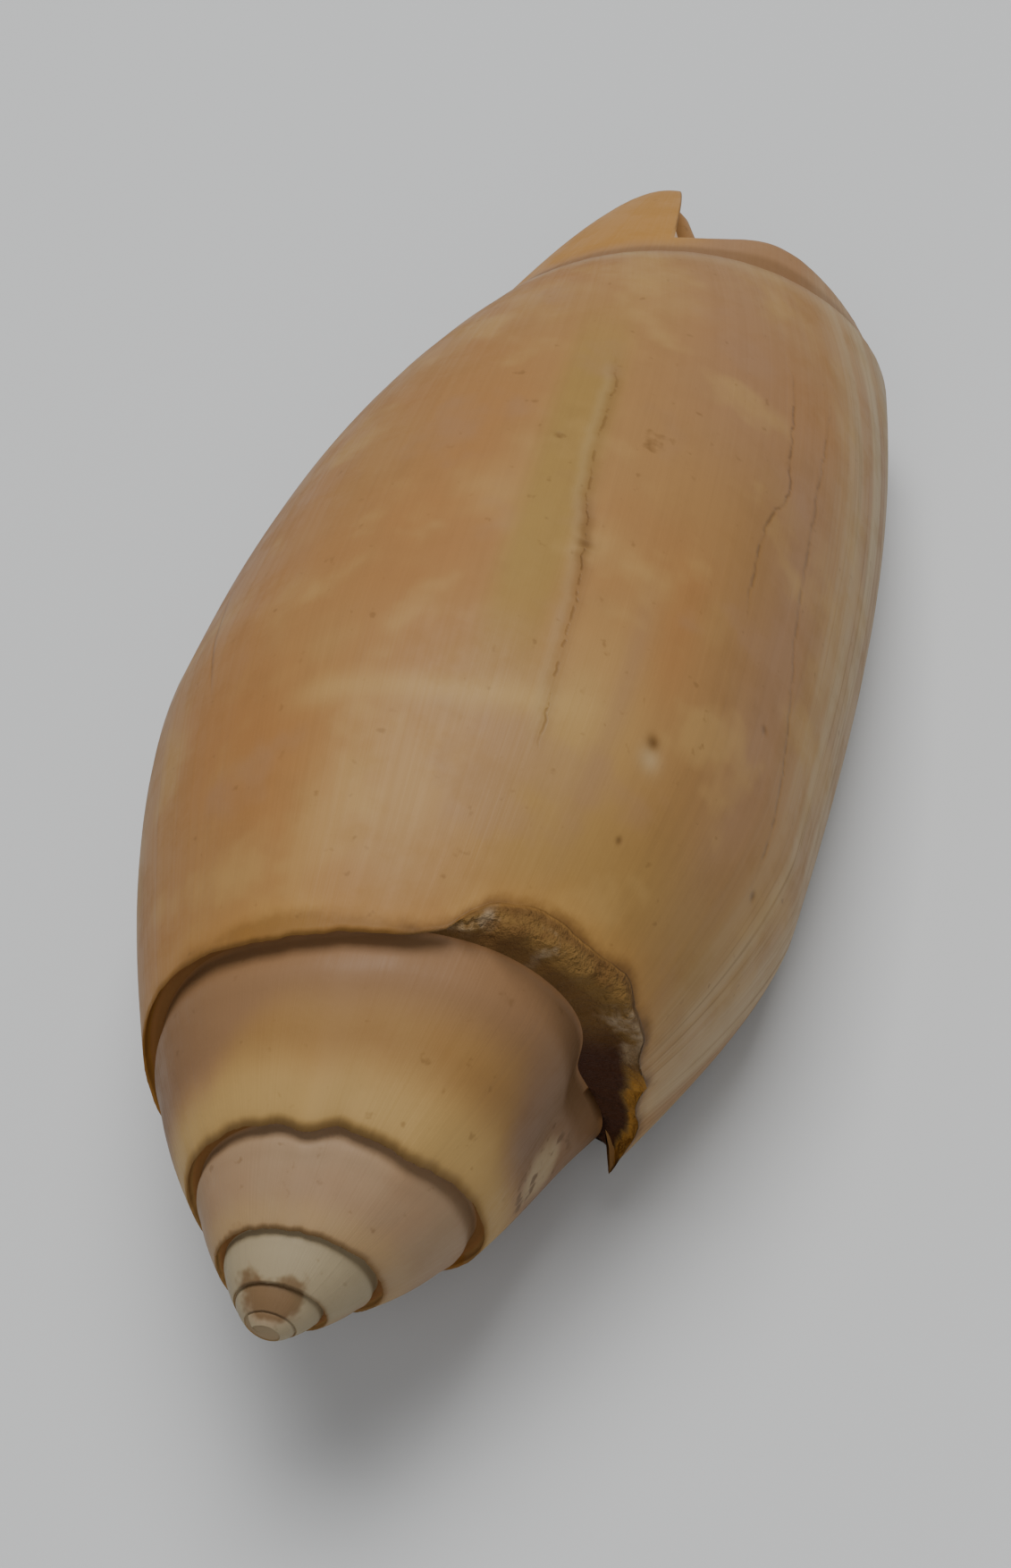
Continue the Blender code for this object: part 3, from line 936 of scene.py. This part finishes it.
def body_paint(tree, tones, turn, along, place, lines):
    """The last whorl: peach and amber clouds, faded sides, painted shade on the right side, an olive streak
    and pale streaks.
    """
    paint = Paint(tree, tones.peach)
    cloud = noise(place, 85, 3, 0.55)
    other = noise(arrows("ADD", place, (0.31, 0.12, 0.2)), 120, 3, 0.55)
    small = noise(arrows("ADD", place, (0.1, 0.4, 0.3)), 330, 4, 0.6)
    paint.lay(tones.amber, ease(cloud * 4 - 1.7) * 0.55)
    paint.lay_patches(tones, turn, along, WARM_PATCHES)
    paint.lay(tones.straw, ease(other * 4 - 2) * 0.55)
    paint.lay_patches(tones, turn, along, FADED_AND_PAINTED_SHADE_PATCHES)
    paint.lay(tones.cream, ramp(turn, -0.175, 0.05) * (0.25 + lines["Streak"] * 0.6))
    paint.lay(tones.umber, ramp(turn, -0.165, 0.04) * ease(lines["Fine"] * 3 - 2) * 0.28)
    paint.lay(tones.umber, lines["Fine"] * 0.06 + ease(small * 4 - 2.1) * 0.1)
    patch = noise(arrows("ADD", place, (0.7, 0.2, 0.5)), 190, 3, 0.55)
    paint.lay(tones.straw, ease(patch * 6 - 3.2) * 0.4)
    paint.lay(tones.mauve, ease(2.7 - patch * 6) * 0.4)
    paint.lay(tones.cream, ease(other * 7 - 4) * hump(turn, -0.265, 0.025) * hump(along, 24, 4) * 0.4)
    pale = (along - curve(turn, PALE_BAND)) / PALE_BAND_WIDTH
    pale = calc("EXPONENT", pale * pale * -1) * window(turn, -0.41, -0.275, 0.04)
    paint.lay(tones.straw, pale * 0.55)
    return paint


def spire_paint(tree, tones, turn, row, place):
    """The older whorls: straw at the seam behind, brown in the middle, faded mauve in front."""
    across = row - RIM
    small = noise(arrows("ADD", place, (0.2, 0.3, 0.1)), 200, 3, 0.6)
    paint = Paint(tree, tones.straw)
    side = ramp(turn, -1.38, -0.1) + ramp(turn, -1.22, 0.08)
    paint.lay(tones.amber, ramp(across, 0.12, 0.35) * (0.1 + small * 0.8))
    paint.lay(tones.mauve, ease((across - 0.45 + clip(side) * 0.35) / 0.3) * 0.9)
    paint.lay(tones.mauve, ramp(turn, -1.9, -0.2) * 0.45)
    paint.lay(tones.ash, ramp(turn, -1.9, -0.2) * (0.35 + ease(small * 3 - 1) * 0.3))
    sides = ramp(turn, -1.42, -0.12) * ramp(turn, -1.85, 0.1) * 0.35 + hump(turn, -1.14, 0.07) * 0.45
    paint.lay(tones.umber, sides * ramp(across, 0.1, 0.3) * 0.7)
    paint.lay(tones.umber, ramp(turn, -1.9, 0.1) * ramp(across, 0.2, 0.25) * 0.34)
    paint.lay(tones.chalk, ramp(turn, -2.98, -0.1))
    worn = near(place, WORN_CALLUS, 2.2)
    paint.lay(tones.cream, ease(worn * 2.4 - 1.1 + (small - 0.5) * 2.5) * 0.75)
    pits = ease(noise(place, 1000, 2) * 9 - 5.1)
    paint.lay(tones.umber, ease(worn * 3 - 0.6) * pits * 0.8)
    return paint


def stains_and_painted_light(paint, tones, turn, row, past, place):
    """Brown dirt in the channels, their walls laid paler as painted light against their shade, and the crust
    on the broken rim, with painted shade along its inner edge and in the canal's hollow.
    """
    cloud = noise(place, 500, 4, 0.65)
    mottle = noise(place, 300, 4, 0.65)
    channel = ease((RIM - row) / 0.1 + 0.5)
    broken = window(turn, *BROKEN_RIM)
    fresh = ramp(turn, -3.3, 0.2)
    last = ramp(turn, -1, 0.01)
    older = ramp(turn, -1, -0.01)
    paint.lay(tones.amber, channel * (0.3 + fresh * 0.6))
    # Painted light: the straw and honey here lay the channel walls paler than their brown stain, to offset
    # the shade that falls in the channel.
    paint.lay(tones.straw, channel * (1 - last) * ramp(row, 0.3, 0.3) * 0.6)
    paint.lay(tones.honey, channel * last * (1 - broken) * ramp(row, 0.4, 0.2) * 0.6)
    paint.lay(tones.umber, channel * ramp(row, 0.35, -0.3) * (0.1 + fresh * 0.25) * (1 - broken * 0.9))
    crust = channel * broken
    paint.lay(tones.moss, crust * 0.9)
    paint.lay(tones.umber, crust * 0.4)
    paint.lay(tones.ash, crust * ease(mottle * 9 - 4.3) * window(turn, -0.32, -0.13, 0.05) * 0.85)
    paint.lay(tones.umber, crust * ease(cloud * 6 - 2.8) * 0.75)
    paint.lay(tones.umber, crust * window(row, 0.9, 1.2, 0.1) * 0.6)
    # Painted shadow: a dark line along the crust's inner edge at the channel floor, beside the older whorl.
    paint.lay(tones.umber, crust * ramp(row, 0.3, -0.25) * 0.8)
    # Rust in the canal's hollow is a dark red-brown deposit and also painted shade of that hollow.
    paint.lay(tones.rust, crust * window(turn, -0.15, 0.02, 0.05) * ramp(row, 0.4, -0.15) * 0.95)
    spur = ramp(turn, -0.13, 0.04) * ramp(row, 0.35, 0.15)
    paint.lay(tones.honey, crust * spur * (0.5 + mottle * 0.6))
    halo = calc("EXPONENT", (past + (cloud - 0.5) * 1.2) * -1.1) * last * (1 - channel)
    paint.lay(tones.honey, halo * 0.45)
    paint.lay(tones.umber, ease(halo * 1.6 - 0.7) * (0.5 + broken * 0.35))
    paint.lay(tones.umber, hump(row, RIM, 0.05) * older * fresh * 0.35)
    foot = ramp(row + (cloud - 0.5) * 0.05, FOOT - 0.04, 0.04) * older
    paint.lay(tones.amber, foot * (0.1 + fresh * 0.4))
    apex = near(place, WORN_APEX, 1.5)
    paint.lay(tones.chalk, ease(near(place, WORN_APEX, 2.4) * 3 - 1.4 + (cloud - 0.5) * 2) * 0.55)
    paint.lay(tones.ash, ease(apex * 3 - 1.6 + (cloud - 0.5) * 4) * 0.85)
    paint.lay(tones.umber, ease(apex * 3 - 1.5 + (mottle - 0.5) * 8) * 0.75)


def skin_material(scene, growth_lines, grime_marks):
    """The outer surface: last whorl, spire, channels, broken rim and front band."""
    tones = scene.shell_tones
    material, tree, shader = new_material("worn shell skin")
    turn, along, _ = uv_parts(tree, "growth")
    row, _, _ = uv_parts(tree, "zone")
    place = object_place(tree)
    lines = growth_lines.place(tree, Turn=turn, Along=along)
    grime = grime_marks.place(tree, Place=place)

    paint = body_paint(tree, tones, turn, along, place, lines)
    spire = spire_paint(tree, tones, turn, row, place)
    paint.lay(spire.colour, ramp(turn, -0.995, -0.01))
    inner = ramp(turn, -0.84, -0.1) * ramp(row, FOOT, 0.1) * ramp(along, 17, 6)
    paint.lay(tones.porcelain, inner * 0.9)

    # The front band
    band = ramp(row, RING, 0.05)
    paint.lay(tones.mauve, band * 0.5)
    paint.lay(tones.honey, band * ramp(turn, -0.235, -0.05) * ramp(row, RING + 0.25, 0.8) * 0.8)
    # Painted shade: the umber band just past the body's edge, where that edge overhangs the front band.
    step = window(row, RING + 0.05, RING + 0.5, 0.25)
    paint.lay(tones.umber, step * (0.45 + ramp(turn, -0.36, -0.06) * 0.35))
    paint.lay(tones.cream, hump(row, RING - 0.012, 0.012) * 0.2)

    form = scene.shell_form
    rim_along = form.growth_along ** turn * (form.seam_along / MM)
    past = along - rim_along - curve(turn, BREAK)
    stains_and_painted_light(paint, tones, turn, row, most(past, 0), place)

    # Scars, cracks and pits
    jitter = (noise(along * 0.8, 1, 2, 0.6, flat=True) - 0.5) * 0.004
    dashes = ease(noise(along * 0.7, 1, 3, 0.7, flat=True) * 6 - 2.4)
    deep = hump(along, 31.8, 2.2) * 0.4
    scar = crack(turn + jitter, along, SCAR, 0.0011) * (0.25 + dashes * 0.4 + deep)
    scar = most(scar, crack(turn + jitter, along, SCAR, 0.0038) * (0.3 + deep))
    side = crack(turn + jitter, along, SIDE_CRACK, 0.0011) * (0.2 + dashes * 0.35)
    edge = crack(turn + jitter, along, EDGE_LINE, 0.0014) * (0.12 + dashes * 0.25)
    left = crack(turn, along, LEFT_LINE, 0.0012) * 0.4
    ridge = crack(turn + 0.0045 + jitter, along, SCAR, 0.003) * 0.35
    marks = most(most(scar, side), most(edge, left))
    for at_turn, at_along, size, depth in PITS:
        marks = most(marks, spot(turn, along, at_turn, at_along, size) * depth)
    chip = spot(turn, along, *CHIP)
    paint.lay(tones.cream, most(chip, ridge) * 0.5)
    paint.lay(tones.umber, marks * 0.85)
    paint.lay(tones.umber, grime["Speck"] * 0.35 + grime["Cloud"] * 0.05)
    paint.colour.feed(shader.inputs["Base Color"])

    channel = ease((RIM - row) / 0.12 + 0.5)
    crust = channel * window(turn, *BROKEN_RIM)
    rough = SKIN_ROUGHNESS + grime["Cloud"] * 0.12 + lines["Fine"] * 0.06 + channel * 0.35
    rough.feed(shader.inputs["Roughness"])
    shader.inputs["Specular IOR Level"].default_value = SKIN_SPECULAR
    height = lines["Height"] * 0.35 - marks * 1.2 - chip * 0.6 + grime["Cloud"] * 0.15
    height = height + crust * noise(place, 900, 4, 0.7) * 9
    bump = tree.nodes.new("ShaderNodeBump")
    bump.inputs["Distance"].default_value = RELIEF
    height.feed(bump.inputs["Height"])
    Field(tree, bump.outputs[0]).feed(shader.inputs["Normal"])
    return material


def lining_material(scene, growth_lines, grime_marks):
    """The smooth pale inside and the edges of the lip."""
    tones = scene.shell_tones
    material, tree, shader = new_material("smooth shell lining")
    turn, along, _ = uv_parts(tree, "growth")
    row, share, _ = uv_parts(tree, "zone")
    place = object_place(tree)
    lines = growth_lines.place(tree, Turn=turn, Along=along)
    grime = grime_marks.place(tree, Place=place)
    paint = Paint(tree, tones.porcelain)
    paint.lay(tones.mauve, ramp(turn, -0.06, -0.3) * 0.6)
    paint.lay(tones.honey, ramp(share, 0.55, -0.4) * 0.6)
    paint.lay(tones.amber, lines["Streak"] * 0.2)
    paint.lay(tones.umber, grime["Cloud"] * 0.12)
    paint.colour.feed(shader.inputs["Base Color"])
    rough = LINING_ROUGHNESS + grime["Cloud"] * 0.15
    rough.feed(shader.inputs["Roughness"])
    shader.inputs["Specular IOR Level"].default_value = LINING_SPECULAR
    return material


# Stage

CAMERA_EYE = Vector((34.816, -74.145, 109.435)) * MM
CAMERA_RIGHT = Vector((0.95171, 0.27357, -0.13931))
CAMERA_UP = Vector((-0.13485, 0.78017, 0.61086))
CAMERA_LENS = 64.68
CAMERA_SENSOR = 36
CAMERA_SHIFT = (-0.0001, -0.0291)
CAMERA_NEAR = 5 * MM
FLOOR_REACH = 1.5
FLOOR_ROUGHNESS = 0.8
SKY_COLOUR = (0.93, 0.96, 1.0, 1)
SKY_STRENGTH = 0.28

# Lamps: name, place and size in metres, and power in watts
LAMPS = (
    ("window", (0.0, 0.19, 0.8), 0.5, 7.7),
    ("fill", (0.16, -0.5, 0.55), 0.5, 1.7),
)


def build_camera(scene):
    data = bpy.data.cameras.new("camera")
    data.sensor_width = CAMERA_SENSOR
    data.lens = CAMERA_LENS
    data.shift_x, data.shift_y = CAMERA_SHIFT
    data.clip_start = CAMERA_NEAR
    camera = bpy.data.objects.new("camera", data)
    scene.collection.objects.link(camera)
    back = CAMERA_RIGHT.cross(CAMERA_UP).normalized()
    turn = Matrix((CAMERA_RIGHT, CAMERA_UP, back)).transposed().to_4x4()
    camera.matrix_world = Matrix.Translation(CAMERA_EYE) @ turn
    scene.camera = camera


def build_floor(scene):
    mesh = bmesh.new()
    bmesh.ops.create_grid(mesh, x_segments=1, y_segments=1, size=FLOOR_REACH)
    data = bpy.data.meshes.new("floor")
    mesh.to_mesh(data)
    mesh.free()
    floor = bpy.data.objects.new("floor", data)
    scene.collection.objects.link(floor)
    material, _, shader = new_material("pale floor")
    shader.inputs["Base Color"].default_value = (*scene.shell_tones.floor, 1)
    shader.inputs["Roughness"].default_value = FLOOR_ROUGHNESS
    data.materials.append(material)


def build_lights(scene):
    world = bpy.data.worlds.new("soft sky")
    scene.world = world
    world.use_nodes = True
    back = world.node_tree.nodes["Background"]
    back.inputs["Color"].default_value = SKY_COLOUR
    back.inputs["Strength"].default_value = SKY_STRENGTH
    for name, place, size, power in LAMPS:
        data = bpy.data.lights.new(name, "AREA")
        data.shape = "SQUARE"
        data.size = size
        data.energy = power
        lamp = bpy.data.objects.new(name, data)
        scene.collection.objects.link(lamp)
        lamp.location = place
        lamp.rotation_euler = (-Vector(place)).to_track_quat("-Z", "Y").to_euler()


# Operators and panel

class SHELL_OT_stage(bpy.types.Operator):
    """Add the floor, the lights and the camera"""

    bl_idname = "shell.stage"
    bl_label = "Add stage"

    def execute(self, context):
        build_camera(context.scene)
        build_floor(context.scene)
        build_lights(context.scene)
        return {"FINISHED"}


class SHELL_OT_shell(bpy.types.Operator):
    """Grow the shell and give it its finish"""

    bl_idname = "shell.shell"
    bl_label = "Add shell"

    def execute(self, context):
        build_shell(context.scene)
        return {"FINISHED"}


class SHELL_PT_panel(bpy.types.Panel):
    """Sizes, tones and buttons of the shell"""

    bl_label = "Worn olive shell"
    bl_idname = "SHELL_PT_panel"
    bl_space_type = "VIEW_3D"
    bl_region_type = "UI"
    bl_category = "Shell"

    def draw(self, context):
        for group in (context.scene.shell_form, context.scene.shell_fineness, context.scene.shell_tones):
            box = self.layout.box()
            for name in type(group).__annotations__:
                box.prop(group, name)
        self.layout.operator(SHELL_OT_shell.bl_idname)
        self.layout.operator(SHELL_OT_stage.bl_idname)


CLASSES = (ShellForm, ShellFineness, ShellTones, SHELL_OT_stage, SHELL_OT_shell, SHELL_PT_panel)


def register():
    for cls in CLASSES:
        bpy.utils.register_class(cls)
    bpy.types.Scene.shell_form = PointerProperty(type=ShellForm)
    bpy.types.Scene.shell_fineness = PointerProperty(type=ShellFineness)
    bpy.types.Scene.shell_tones = PointerProperty(type=ShellTones)


def unregister():
    for name in ("shell_form", "shell_fineness", "shell_tones"):
        delattr(bpy.types.Scene, name)
    for cls in reversed(CLASSES):
        bpy.utils.unregister_class(cls)


def main():
    register()
    bpy.ops.shell.stage()
    bpy.ops.shell.shell()


if __name__ == "__main__":
    main()
